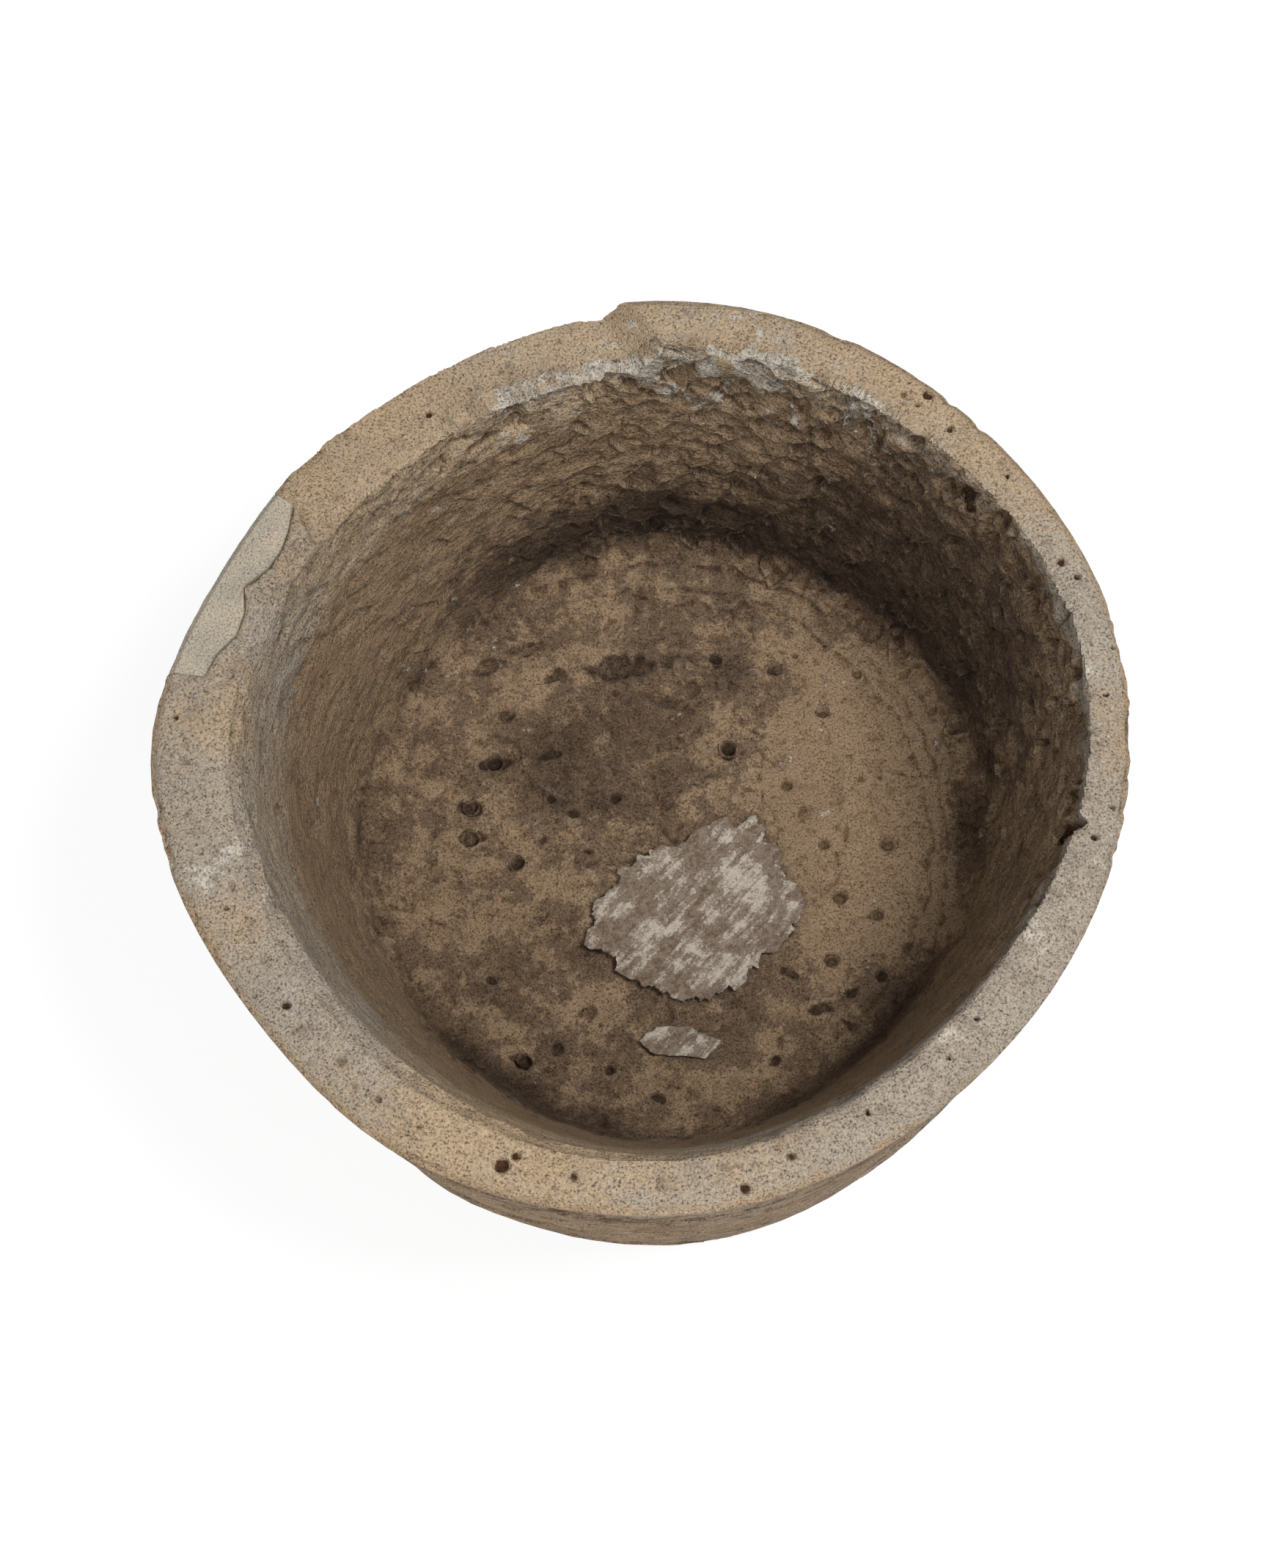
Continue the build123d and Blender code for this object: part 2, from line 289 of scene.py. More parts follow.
# Holes in the bowl's wall: direction, distance below the lip, radius, depth
WALL_PITS = (
    (163, 26, 7.0, 6), (192, 18, 6.0, 5), (176, 60, 3.5, 4), (349, 22, 5.0, 7), (8, 60, 7.0, 7),
    (352, 70, 6.0, 7), (344, 45, 5.0, 6), (338, 80, 5.0, 6), (334, 40, 4.0, 5), (12, 120, 8.0, 8),
    (64, 62, 9.0, 5), (62, 118, 8.0, 5), (26, 96, 8.0, 7), (113, 50, 5.0, 5), (246, 60, 4.0, 4),
    (301, 50, 5.0, 4), (318, 66, 5.0, 5), (326, 110, 6.0, 5), (48, 84, 7.0, 5), (356, 140, 7.0, 6),
)


def floor_pits(place, wobble):
    """Depth of the pits and hollows of the floor at each point."""
    depth = np.zeros(len(place.level))
    for x, y, half_length, half_width, lean, bite in FLOOR_PITS:
        within = 2 * half_length + 8
        near = (np.abs(place.floor_x - x) < within) & (np.abs(place.floor_y - y) < within)
        if not near.any():
            continue
        angle = math.radians(lean)
        dx = place.floor_x[near] - x + wobble[near, 0]
        dy = place.floor_y[near] - y + wobble[near, 1]
        u = (dx * math.cos(angle) + dy * math.sin(angle)) / half_length
        v = (dy * math.cos(angle) - dx * math.sin(angle)) / half_width
        away = np.hypot(u, v) + 0.05 * wobble[near, 2]
        depth[near] = np.maximum(depth[near], 0.7 * bite * (1.0 - smooth(away, 0.5, 0.88)))
    return depth


def round_pits(across, down, pits, wobble):
    """Depth of round holes at each point of a face."""
    depth = np.zeros(len(across))
    for x, y, radius, bite in pits:
        near = (np.abs(across - x) < 3 * radius) & (np.abs(down - y) < 3 * radius)
        away = np.hypot(across[near] - x + 0.4 * wobble[near, 0], down[near] - y + 0.4 * wobble[near, 1])
        depth[near] = np.maximum(depth[near], bite * (1.0 - smooth(away / radius, 0.55, 1.15)))
    return depth


class Weathering:
    """Everything that has been cut, broken and worn away, as a depth at each point of the block."""

    def __init__(self, place, sizes):
        points = place.points
        self.place = place
        self.drift = np.stack([rough(points, 26.0, 3, seed) for seed in (11, 21, 31)], axis=1)
        self.wobble = 5.0 * self.drift
        self.grit = rough(points, 9.0, 2, 51)
        self.uneven = rough(points, 48.0, 3, 61)
        self.chips = smooth(rough(points, 13.0, 3, 91), 0.32, 0.5)
        crumbled = 4.0 * np.stack([rough(points, 9.0, 2, seed) for seed in (131, 141, 151)], axis=1)
        self.floor_pits = floor_pits(place, 0.6 * self.wobble + crumbled)
        self.rim_pits = round_pits(points[:, 0], points[:, 1], RIM_PITS, self.wobble)
        wall = self.wall(plan_strokes(sizes))
        self.depth = place.wall * wall + place.floor * self.floor() + place.rim * self.rim()
        self.depth += place.outside * self.outside()
        self.depth += self.edges()

    def wall(self, planned):
        """Chisel strokes, ledges that crumble towards the foot, and holes."""
        place = self.place
        across = place.along + self.wobble[:, 0]
        down = place.drop + self.wobble[:, 1]
        strokes = chop(np.zeros(len(across)), across, down, planned)
        shelf = rough(place.points * np.array((1.0, 1.0, 2.6)), 30.0, 4, 41)
        steps = np.floor(3.0 * shelf) / 3.0
        crumbling = smooth(place.drop, 110.0, 230.0) * arc(place.turn, *CRUMBLING_WALL)
        shelves = 4.0 * crumbling * (0.5 + 0.5 * steps)
        pits = [(turn * MM_PER_DEGREE, drop, radius, bite) for turn, drop, radius, bite in WALL_PITS]
        tooled = arc(place.turn, *TOOLED_WALL)
        wall = strokes + shelves + round_pits(place.along, place.drop, pits, self.wobble)
        wall += (0.3 + 0.5 * tooled) * (self.grit + 1.0) + (0.8 + 0.6 * tooled) * (self.uneven + 1.0)
        return wall

    def floor(self):
        """Pits, two terraces round the edge, low scarps and flaked patches."""
        place = self.place
        scarp = rough(place.points, 64.0, 4, 71)
        edge = place.floor_reach + 7.0 * self.drift[:, 2]
        terrace = 3.2 * (1.0 - smooth(edge, 224.0, 226.4)) + 3.0 * (1.0 - smooth(edge, 238.0, 240.4))
        terrace *= 0.35 + 0.65 * arc(place.floor_turn, *TERRACED_FLOOR)
        flakes = np.abs(rough(place.points, 22.0, 3, 81))
        floor = self.floor_pits + terrace + 2.2 * smooth(scarp, 0.05, 0.11) + 1.2 * smooth(flakes, 0.16, 0.2)
        floor += 0.4 * (self.grit + 1.0)
        return floor

    def rim(self):
        """Holes, a worn unevenness and small chips."""
        return self.rim_pits + 0.2 * (self.grit + 1.0) + 0.6 * (self.uneven + 1.0) + 1.2 * self.chips

    def outside(self):
        """Flat beds of the stone that have weathered back, from just under the rim down."""
        beds = rough(self.place.points * np.array((0.35, 0.35, 2.2)), 40.0, 4, 101)
        low = smooth(self.place.drop, 0.0, 30.0)
        weathered = low * (1.6 * smooth(beds, 0.0, 0.12) + 1.4 * self.chips)
        return (0.3 + 1.4 * low) * (self.uneven + 1.0) + weathered

    def edges(self):
        """Nicks along the bowl's lip, and broken stretches of the outer edge."""
        place = self.place
        nicks = smooth(rough(place.points, 24.0, 4, 111), -0.1, 0.35)
        broken = smooth(rough(place.points, 60.0, 4, 121), 0.1, 0.35)
        worked = 0.5 + 1.6 * arc(place.turn, *WORKED_LIP)
        return 4.5 * nicks * place.lip * worked + (0.2 + 3.0 * nicks * broken) * place.arris


# Small helpers for meshes


def take_copy(node, name):
    """A copy of a CAD node's mesh with its loose triangles merged, selected and active."""
    bpy.ops.object.select_all(action="DESELECT")
    piece = bpy.data.objects.new(name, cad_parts[node].data.copy())
    piece.data.name = name
    piece.data.materials.clear()
    bpy.context.scene.collection.objects.link(piece)
    bpy.context.view_layer.objects.active = piece
    piece.select_set(True)
    bpy.ops.object.mode_set(mode="EDIT")
    bpy.ops.mesh.select_all(action="SELECT")
    bpy.ops.mesh.remove_doubles(threshold=0.01 * MM)
    bpy.ops.object.mode_set(mode="OBJECT")
    return piece


def apply_modifier(piece, kind, **settings):
    """Add a modifier to a piece and apply it."""
    modifier = piece.modifiers.new(kind.title(), kind)
    for key, value in settings.items():
        setattr(modifier, key, value)
    bpy.ops.object.modifier_apply(modifier=modifier.name)


def read_points(piece):
    """A piece's points in millimetres and its normals."""
    count = len(piece.data.vertices)
    points = np.empty(3 * count, np.float32)
    normals = np.empty(3 * count, np.float32)
    piece.data.vertices.foreach_get("co", points)
    piece.data.vertex_normals.foreach_get("vector", normals)
    return points.reshape(-1, 3).astype(float) / MM, normals.reshape(-1, 3).astype(float)


def write_points(piece, points, node):
    """Move a piece's points, none of them out of the box of the CAD node that it stands for."""
    low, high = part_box(node)
    inside = np.clip(points * MM, np.array(low), np.array(high))
    piece.data.vertices.foreach_set("co", inside.astype(np.float32).ravel())
    piece.data.update()


def write_mask(piece, name, values):
    """Keep a share from 0 to 1 at each point, for the piece's material to read."""
    layer = piece.data.attributes.new(name, "FLOAT", "POINT")
    layer.data.foreach_set("value", np.clip(values, 0.0, 1.0).astype(np.float32))


def write_lay(piece, name, places):
    """Keep a place at each point, which the tool marks of the piece's material follow."""
    layer = piece.data.attributes.new(name, "FLOAT_VECTOR", "POINT")
    layer.data.foreach_set("vector", (places * MM).astype(np.float32).ravel())


def hollowness(piece, depth):
    """0.5 on even stone, more in hollows and deep cuts, and less on edges that stand out."""
    points, normals = read_points(piece)
    ends = np.empty(2 * len(piece.data.edges), np.int32)
    piece.data.edges.foreach_get("vertices", ends)
    here = np.concatenate([ends[0::2], ends[1::2]])
    there = np.concatenate([ends[1::2], ends[0::2]])
    count = np.maximum(np.bincount(here, minlength=len(points)), 1)

    def beside(values):
        """The mean of each point's neighbours."""
        return np.bincount(here, values[there], len(points)) / count

    around = np.stack([beside(points[:, axis]) for axis in range(3)], axis=1)
    spread = np.sum((around - points) * normals, axis=1)
    spread = 0.5 * spread + 0.5 * beside(spread)
    level = depth.copy()
    for _ in range(14):
        level = 0.5 * level + 0.5 * beside(level)
    return 0.5 + 0.5 * spread + 0.1 * (depth - level)


def thin_out(piece, most):
    """Bring a piece under a number of triangles, keeping more of them where the surface bends most."""
    bpy.ops.object.select_all(action="DESELECT")
    piece.select_set(True)
    bpy.context.view_layer.objects.active = piece
    apply_modifier(piece, "TRIANGULATE")
    faces = len(piece.data.polygons)
    if faces > most:
        apply_modifier(piece, "DECIMATE", ratio=most / faces)
    bpy.ops.object.shade_smooth_by_angle(angle=math.radians(EDGE_ANGLE))


def hand_over(piece, node, material):
    """The piece takes its material, and the CAD node's place in the assembly."""
    piece.data.materials.append(material)
    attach(piece, "root")
    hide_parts(node)


# Materials

# Width in millimetres of the grains, drawn coarser than the real 0.5 to 1 mm, which is too fine to show
LIMESTONE_GRAIN = 1.7
REPAIR_GRAIN = 1.6
MORTAR_GRAIN = 1.4

# Millimetres between the chisel's ridges, between the level beds outside, and between the trowel's streaks
CHISEL_SPACING = 9.0
BED_THICKNESS = 6.0
TROWEL_SPACING = 5.0

# What darkens or lightens the stone that it lies on, two of them painted shade: in hollows and in the
# chisel's grooves
DARK_GRAIN = "#897e73"
PALE_GRAIN = "#fff9ef"
OPEN_PORE = "#7c6f61"
GREY_CLOUD = "#cec8c2"
# Painted shade in hollows and deep cuts, with some dirt packed into them
HOLLOW_SHADE_AND_DIRT = "#998b7e"
RUBBED_EDGE = "#e7dac8"
# Painted shade in the grooves between the chisel's ridges
CHISEL_GROOVE_SHADE = "#a29384"
RAIN_STREAK = "#ada095"


def put(tree, kind, inputs=None, **settings):
    """Add a node with its settings, its plain inputs and the links into it, and give its outputs."""
    node = tree.nodes.new("ShaderNode" + kind)
    for key, value in settings.items():
        setattr(node, key, value)
    for key, value in (inputs or {}).items():
        if isinstance(value, bpy.types.NodeSocket):
            tree.links.new(value, node.inputs[key])
        else:
            node.inputs[key].default_value = value
    return node.outputs


def per_metre(size):
    """Scale of a noise whose grains are about size millimetres across."""
    return 1.0 / (size * MM)


def begin_material(name, patterns):
    """A new material, its tree and coordinates, and its patterns by millimetres, detail and roughness."""
    material = bpy.data.materials.new(name)
    material.use_nodes = True
    tree = material.node_tree
    tree.nodes.clear()
    where = put(tree, "TexCoord")["Object"]
    spread = []
    for width, detail, roughness in patterns:
        inputs = {"Vector": where, "Scale": per_metre(width), "Detail": detail, "Roughness": roughness}
        spread.append(put(tree, "TexNoise", inputs)["Fac"])
    return material, tree, where, spread


def coated(tree, stone, coat, pattern, bare, full, most=1.0, blend="MIX"):
    """Stone under a coat of colour: none where the pattern is at bare, and most of it where it is at full."""
    share = put(
        tree, "MapRange", {"Value": pattern, "From Min": bare, "From Max": full, "To Max": most},
        interpolation_type="SMOOTHSTEP",
    )["Result"]
    layers = {"Factor": share, 6: stone, 7: (*coat, 1.0)}
    return put(tree, "Mix", layers, data_type="RGBA", blend_type=blend)[2]


def ragged(tree, mask, crumbs, spread):
    """One of the piece's masks, with an edge that breaks up into crumbs."""
    value = put(tree, "Attribute", attribute_name=mask)["Fac"]
    shift = put(tree, "Math", {0: crumbs, 1: 0.5}, operation="SUBTRACT")[0]
    return put(tree, "Math", {0: shift, 1: spread, 2: value}, operation="MULTIPLY_ADD")[0]


def grained(tree, where, stone, grain, depth):
    """Grains of sand in the stone: dark and pale ones, and small open pores between them."""
    inputs = {"Vector": where, "Scale": per_metre(grain), "Detail": 3.0, "Roughness": 0.75}
    fine = put(tree, "TexNoise", inputs)["Fac"]
    toned = coated(tree, stone, linear(DARK_GRAIN), fine, 0.5, 0.34, depth, "MULTIPLY")
    toned = coated(tree, toned, linear(PALE_GRAIN), fine, 0.5, 0.66, 0.55 * depth, "SOFT_LIGHT")
    cells = put(tree, "TexVoronoi", {"Vector": where, "Scale": per_metre(3.4 * grain), "Randomness": 1.0})
    some = put(
        tree, "MapRange", {"Value": cells["Color"], "From Min": 0.52, "From Max": 0.62},
        interpolation_type="SMOOTHSTEP",
    )["Result"]
    pores = put(
        tree, "MapRange", {"Value": cells["Distance"], "From Min": 0.17, "From Max": 0.08, "To Max": some},
        interpolation_type="SMOOTHSTEP",
    )["Result"]
    dark = put(tree, "Math", {0: some, 1: 0.4 * depth}, operation="MULTIPLY")[0]
    toned = coated(tree, toned, linear(OPEN_PORE), cells["Distance"], 0.17, 0.08, dark, "MULTIPLY")
    return toned, fine, pores


def finish_material(tree, colour, relief, distance):
    """Stone is dull, so its gloss is low all over, and the sum of its fine relief goes into the bump."""
    height = 0.0
    for part, share in relief:
        height = put(tree, "Math", {0: part, 1: share, 2: height}, operation="MULTIPLY_ADD")[0]
    bump = put(tree, "Bump", {"Height": height, "Distance": distance * MM, "Strength": 1.0})
    gloss = {"Roughness": 0.9, "Specular IOR Level": 0.25, "IOR": 1.5}
    shader = put(tree, "BsdfPrincipled", {"Base Color": colour, "Normal": bump[0], **gloss})
    put(tree, "OutputMaterial", {"Surface": shader[0]})


def limestone_material(tones):
    """Coarse limestone, cut with a chisel and weathered: grainy and dull, brown inside and grey outside."""
    material, tree, where, (crumbs, flecks, clouds, lacy) = begin_material(
        "Weathered limestone", ((7.0, 5.0, 0.72), (2.4, 3.0, 0.7), (60.0, 4.0, 0.6), (24.0, 9.0, 0.76)),
    )
    broken = put(tree, "Mix", {0: 0.4, 2: crumbs, 3: flecks}, data_type="FLOAT")[0]

    # Stains, each over the ones before: mask, what breaks up its edge and how much, bare, full, most, colour;
    # the soot mask also holds painted shade at the wall's foot, round the floor's edge and in its pits
    stone = (*tones.grey_stone, 1.0)
    for mask, edge, spread, bare, full, most, tint in (
        ("warmth", broken, 1.6, 0.2, 0.8, 1.0, tones.tan_stone),
        ("patina", broken, 1.2, 0.35, 0.7, 1.0, tones.brown_patina),
        ("soot_and_shade", lacy, 3.2, 0.36, 0.57, 0.8, tones.brown_film),
        ("soot_and_shade", broken, 1.4, 0.4, 1.1, 1.0, tones.dark_patina_and_shade),
        ("bloom", lacy, 3.4, 0.5, 0.68, 1.0, tones.lime_bloom),
    ):
        stone = coated(tree, stone, tint, ragged(tree, mask, edge, spread), bare, full, most)
    rust = put(tree, "Attribute", attribute_name="rust")["Fac"]
    stone = coated(tree, stone, tones.rust, rust, 0.2, 0.8)

    # Painted shade with some dirt: darker in hollows and deep cuts, by the hollow mask and a little noise
    hollow = put(tree, "Attribute", attribute_name="hollow")["Fac"]
    shade_and_dirt = put(tree, "Math", {0: crumbs, 1: 0.25, 2: hollow}, operation="MULTIPLY_ADD")[0]
    stone = coated(tree, stone, linear(GREY_CLOUD), clouds, 0.35, 0.68, 0.3, "MULTIPLY")
    stone = coated(tree, stone, linear(HOLLOW_SHADE_AND_DIRT), shade_and_dirt, 0.62, 1.0, 0.75, "MULTIPLY")
    stone = coated(tree, stone, linear(RUBBED_EDGE), hollow, 0.42, 0.1, 0.05, "SCREEN")

    # Fine ridges that the chisel left, which run with its strokes, and level streaks outside
    lay = put(tree, "Attribute", attribute_name="lay")["Vector"]
    ridged = {"Vector": lay, "Scale": per_metre(CHISEL_SPACING), "Detail": 5.0, "Roughness": 0.66}
    scored = put(tree, "TexNoise", ridged)["Fac"]
    tooled = put(tree, "Attribute", attribute_name="tooled")["Fac"]
    scarps = put(
        tree, "MapRange", {"Value": scored, "From Min": 0.44, "From Max": 0.51, "To Max": tooled},
        interpolation_type="SMOOTHSTEP",
    )["Result"]
    ridges = put(tree, "Math", {0: scored, 1: tooled}, operation="MULTIPLY")[0]
    cut = put(tree, "Math", {0: tooled, 1: 0.6}, operation="MULTIPLY")[0]
    # Painted shade: darker in the low parts of the chisel's ridges, where the bump cuts its grooves
    stone = coated(tree, stone, linear(CHISEL_GROOVE_SHADE), scored, 0.48, 0.38, cut, "MULTIPLY")
    flat = put(tree, "Mapping", {"Vector": where, "Scale": (0.22, 0.22, 1.0)})[0]
    level = {"Vector": flat, "Scale": per_metre(BED_THICKNESS), "Detail": 4.0, "Roughness": 0.6}
    beds = put(tree, "TexNoise", level)["Fac"]
    weathered = put(tree, "Attribute", attribute_name="weathered")["Fac"]
    washed = put(tree, "Math", {0: weathered, 1: 0.5}, operation="MULTIPLY")[0]
    stone = coated(tree, stone, linear(RAIN_STREAK), beds, 0.55, 0.4, washed, "MULTIPLY")

    toned, fine, pores = grained(tree, where, stone, LIMESTONE_GRAIN, 1.0)
    relief = ((fine, 0.8), (crumbs, 1.6), (pores, -0.5), (ridges, 3.0), (scarps, 0.9))
    finish_material(tree, toned, relief, 2.0)
    return material


def repair_material(tones):
    """A finer, greyer stone, dressed flat: even and pale, with hardly any brown staining."""
    material, tree, where, (clouds, flecks) = begin_material(
        "Fine grey stone", ((30.0, 4.0, 0.65), (2.2, 3.0, 0.7)),
    )
    stone = coated(tree, (*tones.repair_stone, 1.0), tones.repair_pale, clouds, 0.3, 0.7)
    stains = put(tree, "Math", {0: clouds, 1: flecks}, operation="ADD")[0]
    stone = coated(tree, stone, tones.tan_stone, stains, 0.95, 1.25, 0.5)
    toned, fine, pores = grained(tree, where, stone, REPAIR_GRAIN, 0.8)
    finish_material(tree, toned, ((fine, 1.0), (pores, -0.6)), 0.8)
    return material


def mortar_material(tones):
    """Lime mortar, trowelled on and half worn off: white on its ridges and brown where it has rubbed thin."""
    material, tree, where, (crumbs, flecks) = begin_material(
        "Worn lime mortar", ((6.0, 5.0, 0.75), (1.8, 3.0, 0.7)),
    )
    along = {"Vector": where, "Rotation": (0.0, 0.0, math.radians(TROWEL_LEAN)), "Scale": (6.0, 1.0, 1.0)}
    turned = put(tree, "Mapping", along, vector_type="TEXTURE")[0]
    drawn = {"Vector": turned, "Scale": per_metre(TROWEL_SPACING), "Detail": 3.0, "Roughness": 0.6}
    streaks = put(tree, "TexNoise", drawn)["Fac"]
    broken = put(tree, "Mix", {0: 0.45, 2: crumbs, 3: flecks}, data_type="FLOAT")[0]
    thin = ragged(tree, "thin", streaks, 0.9)
    middling = put(tree, "Math", {0: broken, 1: 0.5}, operation="SUBTRACT")[0]
    worn = put(tree, "Math", {0: middling, 1: 1.5, 2: thin}, operation="MULTIPLY_ADD")[0]
    film = coated(tree, (*tones.brown_film, 1.0), tones.mortar, crumbs, 0.4, 0.6)
    mortar = coated(tree, film, tones.mortar_pale, worn, 0.6, 0.3)
    toned, fine = grained(tree, where, mortar, MORTAR_GRAIN, 0.45)[:2]
    finish_material(tree, toned, ((fine, 1.0), (crumbs, 1.3)), 1.2)
    return material


# Sizes and colours that a user would change


def length(name, description, default, low, high):
    return FloatProperty(
        name=name, description=description, default=default * MM, min=low * MM, max=high * MM,
        subtype="DISTANCE", unit="LENGTH",
    )


def tone(name, description, code):
    return FloatVectorProperty(
        name=name, description=description, subtype="COLOR", size=3, default=linear(code), min=0.0, max=1.0,
    )


class TroughSizes(bpy.types.PropertyGroup):
    """How finely the trough is carved and how deep its tool marks are."""

    carving_step: length("Carving step", "Size of the cells that the block is carved in", 2.1, 1.0, 8.0)
    mortar_step: length("Mortar step", "Size of the cells that the mortar is shaped in", 1.2, 0.6, 4.0)
    stroke_bite: length("Stroke bite", "Depth of the lesser chisel strokes in the wall", 5.6, 0.0, 9.0)


class TroughTones(bpy.types.PropertyGroup):
    """The colours of the stone, its patina and its mortar."""

    grey_stone: tone("Grey stone", "Weathered stone of the rim and the outside", "#a09587")
    tan_stone: tone("Tan stone", "Iron-stained stone of the rim", "#ad977b")
    brown_patina: tone("Brown patina", "Staining inside the bowl", "#978066")
    # Brown film and dark patina are also laid as painted shade at the wall's foot, round the floor's edge and
    # in its pits
    brown_film: tone("Brown film", "Thin brown film over the stone inside the bowl", "#6b5847")
    dark_patina_and_shade: tone("Dark patina", "Damp and soot at the back and in the corner", "#413327")
    lime_bloom: tone("Lime bloom", "White bloom on the rim and the upper wall", "#bdb5a8")
    rust: tone("Rust", "Iron spots in the rim", "#6a4a33")
    repair_stone: tone("Repair stone", "The grey piece let into the rim", "#968e80")
    repair_pale: tone("Pale repair stone", "Paler clouds in the grey piece", "#a59d8f")
    mortar: tone("Mortar", "The mortar on the floor", "#877a6c")
    mortar_pale: tone("Pale mortar", "Lime on the mortar's ridges", "#beb4a7")


BLOCK_TRIANGLES = 196000
REPAIR_TRIANGLES = 30000
REPAIR_FINENESS = 0.7       # cells of the grey piece, as a share of the block's

# Dark and pale clouds on the floor: share, middle from the floor's own, half lengths and lean
FLOOR_CLOUDS = (
    (0.2, (-45.0, 60.0), (110.0, 80.0), 20.0),
    (0.08, (-90.0, -95.0), (90.0, 50.0), 10.0),
    (-0.5, (165.0, 30.0), (90.0, 160.0), 0.0),
)

# The mortar skins: CAD node, name of the piece, how far its top wears down in millimetres, most triangles
MORTAR_SKINS = (
    ("floor_mortar_patch", "mortar_patch", 3.2, 60000),
    ("floor_mortar_residue", "mortar_residue", 2.0, 14000),
)


class TROUGH_OT_carve_block(bpy.types.Operator):
    """Carve, break and weather the limestone block"""

    bl_idname = "trough.carve_block"
    bl_label = "Carve the block"

    def execute(self, context):
        sizes = context.scene.trough_sizes
        block = take_copy("trough_block", "carved_block")
        cell = sizes.carving_step * 1.0
        apply_modifier(block, "REMESH", mode="VOXEL", voxel_size=cell)
        points, normals = read_points(block)
        place = Survey(points, normals)
        cut = Weathering(place, sizes)
        write_points(block, points + place.into_stone() * cut.depth[:, None], "trough_block")
        self.stain(block, place, cut)
        thin_out(block, BLOCK_TRIANGLES)
        hand_over(block, "trough_block", limestone_material(context.scene.trough_tones))
        return {"FINISHED"}

    def stain(self, block, place, cut):
        """Where the stone is tan, brown, dark, bloomed or rusty, as masks that its material reads."""
        patches = rough(place.points, 26.0, 4, 211)
        clouds = rough(place.points, 70.0, 4, 201)

        # A worn lip and a bevel are still pale, and the brown begins under them
        bevelled = arc(place.turn, *BEVEL)
        worn_lip = arc(place.turn, *WORN_LIP)
        below_lip = smooth(place.drop + 26.0 * patches, 2.0 + 8.0 * worn_lip, 26.0 + 120.0 * worn_lip)
        below_bevel = smooth(place.drop + 22.0 * patches, 36.0, 96.0)
        shaded = below_lip * (1.0 - bevelled) + below_bevel * bevelled
        patina = place.bowl * shaded * (0.95 + 0.1 * patches) + place.outside * (0.5 + 0.2 * clouds)

        tooled = place.bowl_wall * (0.5 + 0.5 * arc(place.turn, -35.0, 135.0, 20.0))
        weathered = place.outside * (place.reach > SKIN_REACH) * smooth(place.drop, -4.0, 24.0)
        write_lay(block, "lay", self.chisel_lay(place))
        write_mask(block, "tooled", tooled)
        write_mask(block, "warmth", self.warmth(place, clouds))
        write_mask(block, "patina", patina)
        write_mask(block, "soot_and_shade", self.soot_and_shade(place, cut, shaded, patches, clouds))
        write_mask(block, "bloom", self.bloom(place, patches))
        write_mask(block, "rust", place.rim * smooth(cut.rim_pits, 3.6, 5.0))
        write_mask(block, "weathered", weathered)
        # The material paints shade in hollows and deep cuts from this mask
        write_mask(block, "hollow", hollowness(block, cut.depth))

    def chisel_lay(self, place):
        """Places on a wall of half the reach, so that ridges are twice as long and lean with the strokes."""
        slope = np.radians(place.turn) + 0.3 * place.drop / WALL_REACH
        half = 0.5 * WALL_REACH
        return np.stack([half * np.cos(slope), half * np.sin(slope), place.drop], axis=1)

    def warmth(self, place, clouds):
        """Tan stone at the back and the front left, and grey stone at the front right."""
        warmth = 0.42 + 0.45 * clouds
        warmth += 0.25 * arc(place.turn, 66.0, 160.0, 14.0) + 0.2 * arc(place.turn, 30.0, 66.0, 10.0)
        warmth += 0.3 * arc(place.turn, 236.0, 272.0, 12.0) - 0.3 * arc(place.turn, 300.0, 352.0, 12.0)
        warmth += 0.25 * place.outside
        return warmth

    def soot_and_shade(self, place, cut, shaded, patches, clouds):
        """Dark stains with painted shade: the wall at the back right, painted shade at its foot, clouds of
        the floor, painted shade in the floor's pits and round its edge, and the outside.
        """
        drop = place.drop
        low = place.bowl_floor
        high = place.bowl_wall
        dark = arc(place.turn, 4.0, 70.0, 24.0) * (0.2 + 0.42 * smooth(drop, 10.0, 150.0))
        # Painted shade at the foot of the wall, at the back and right
        shade_at_wall_foot = smooth(drop, 130.0, 230.0) * arc(place.turn, 10.0, 128.0, 30.0)
        smudges = 0.3 * patches + 0.14 + 0.1 * arc(place.turn, 20.0, 100.0, 24.0)
        soot_and_shade = high * shaded * (np.maximum(dark, 0.9 * shade_at_wall_foot) + smudges)
        soot_and_shade -= 0.28 * high * arc(place.turn, *BACK_WALL) * (1.0 - smooth(drop, 90.0, 150.0))
        under_rim = 1.0 - smooth(drop, 60.0, 160.0)
        soot_and_shade += place.outside * (0.2 + 0.12 * patches + 0.24 * under_rim) * smooth(drop, 0.0, 24.0)
        # Round the floor's edge: damp stains at the front, and a thin band of painted shade all round where
        # the floor meets the wall
        corner = smooth(place.floor_reach, 222.0, 246.0) * (place.level < FLOOR_TOP)
        damp = arc(place.turn, 226.0, 262.0, 8.0) + arc(place.turn, 290.0, 330.0, 8.0)
        soot_and_shade += place.bowl * corner * (0.34 * damp + 0.08)
        soot_and_shade += low * (0.52 + 0.3 * patches + 0.3 * clouds)
        for share, middle, size, lean in FLOOR_CLOUDS:
            soot_and_shade += low * share * blot(place.floor_x, place.floor_y, middle, size, lean)
        # Painted shade in the floor's pits, darker the deeper they are
        soot_and_shade += 0.3 * smooth(cut.floor_pits, 1.2, 3.6) * low
        return soot_and_shade

